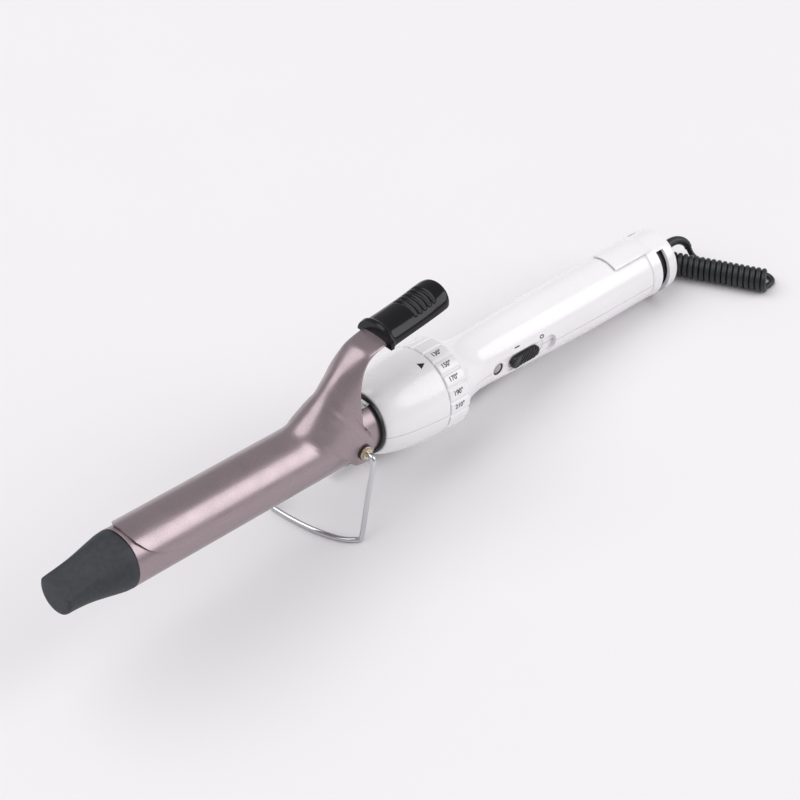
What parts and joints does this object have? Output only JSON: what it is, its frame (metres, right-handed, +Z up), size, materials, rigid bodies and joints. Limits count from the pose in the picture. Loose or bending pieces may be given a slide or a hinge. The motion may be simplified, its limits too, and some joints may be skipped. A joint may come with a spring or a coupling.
{
  "type": "curling iron",
  "caption": "Hair curling iron with a heated barrel, spring clamp with thumb lever, thermostat dial, slide switch, folding wire stand and curly mains cord on a swivel.",
  "frame": {"origin": "floor level under the middle of the iron's box, cord and plug left out, with the iron standing on its wire stand and the rear edge of its handle", "axes": "+X from the cool tip towards the cord end, +Z up, +Y to the far side, away from the side that has the switch"},
  "size_m": [0.3888, 0.0816, 0.0907],
  "materials": {
    "tip_plastic": "matte, finely textured",
    "rose_paint": "metallic rose paint",
    "spreader": "satin",
    "contact_brass": "satin",
    "screw_brass": "polished",
    "ceramic": "matt ceramic",
    "steel": "satin",
    "spring_steel": "polished",
    "black_plastic": "gloss",
    "stand_chrome": "polished",
    "white_plastic": "gloss",
    "board": "satin",
    "amber_plastic": "gloss",
    "lamp_glass": "frosted",
    "drum_plastic": "satin",
    "red_sleeve": "matt",
    "blue_sleeve": "matt",
    "sensor_sleeve": "woven glass sleeve",
    "cord_rubber": "satin",
    "plug_plastic": "satin",
    "plug_metal": "nickel plated"
  },
  "bodies": {
    "housing": {"cool_tip": "tip_plastic", "barrel": "rose_paint", "heat_spreader_upper": "spreader", "electrode_upper": "contact_brass", "heat_spreader_lower": "spreader", "electrode_lower": "contact_brass", "ptc_heater": "ceramic", "temperature_sensor": "ceramic", "thermal_fuse": "steel", "hinge_saddle": "steel", "pivot_washer_near": "black_plastic", "pivot_screw_near": "screw_brass", "pivot_washer_far": "black_plastic", "pivot_screw_far": "screw_brass", "heat_ring": "black_plastic", "housing_upper": "white_plastic", "housing_lower": "white_plastic", "housing_screw_1": "steel", "housing_screw_2": "steel", "housing_screw_3": "steel", "housing_screw_4": "steel", "potentiometer": "steel", "circuit_board": "board", "power_switch_chip": "black_plastic", "film_capacitor": "amber_plastic", "control_chip": "black_plastic", "slide_switch_body": "black_plastic", "lamp_lens": "lamp_glass", "lamp_led": "amber_plastic", "rear_cap": "white_plastic", "brush_live": "contact_brass", "brush_neutral": "contact_brass", "wire_live": "red_sleeve", "wire_neutral": "blue_sleeve", "heater_lead_upper": "red_sleeve", "heater_lead_lower": "blue_sleeve", "sensor_lead": "sensor_sleeve", "strain_relief": "cord_rubber", "cord_coil": "cord_rubber", "cord_lead": "cord_rubber", "cord_tail": "cord_rubber", "cord_hank": "cord_rubber", "cord_tie": "cord_rubber", "cord_plug_lead": "cord_rubber", "plug_blade_near": "plug_metal", "plug_blade_far": "plug_metal", "plug_body": "plug_plastic"},
    "jaw": {"clamp": "rose_paint", "thumb_rest": "black_plastic", "thumb_rivet": "steel", "clamp_spring": "spring_steel"},
    "stand": {"stand_wire": "stand_chrome"},
    "dial": {"dial_ring": "white_plastic"},
    "pinion": {"pot_pinion": "white_plastic"},
    "knob": {"switch_knob": "black_plastic"},
    "swivel": {"swivel_drum": "drum_plastic", "slip_ring_live": "contact_brass", "slip_ring_neutral": "contact_brass"}
  },
  "joints": [
    {"name": "clamp_hinge", "type": "hinge", "parent": "housing", "child": "jaw", "pos_m": [-0.02683, -0.00098, 0.04417], "axis": [0, 1, 0], "range_deg": [0, 17], "stiffness_Nm_per_rad": 0.35, "springref_deg": -17.19, "deforming": ["clamp_spring"]},
    {"name": "stand_hinge", "type": "hinge", "parent": "housing", "child": "stand", "pos_m": [-0.02683, -0.00098, 0.04417], "axis": [0, 1, 0], "range_deg": [0, 56]},
    {"name": "dial_turn", "type": "hinge", "parent": "housing", "child": "dial", "pos_m": [0.0236, -0.00098, 0.03657], "axis": [-0.9888, 0, 0.149], "range_deg": [0, 72]},
    {"name": "pinion_turn", "type": "hinge", "parent": "housing", "child": "pinion", "pos_m": [0.02539, -0.00098, 0.04843], "axis": [-0.9888, 0, 0.149], "range_deg": [0, 217]},
    {"name": "switch_slide", "type": "slide", "parent": "housing", "child": "knob", "axis": [0.9888, 0, -0.149], "range_m": [0, 0.007]},
    {"name": "cord_swivel", "type": "hinge", "parent": "housing", "child": "swivel", "pos_m": [0.16303, -0.00098, 0.01556], "axis": [0.9888, 0, -0.149], "continuous": true}
  ],
  "couplings": [
    {"joint": "pinion_turn", "follows": "dial_turn", "ratio": 3}
  ]
}
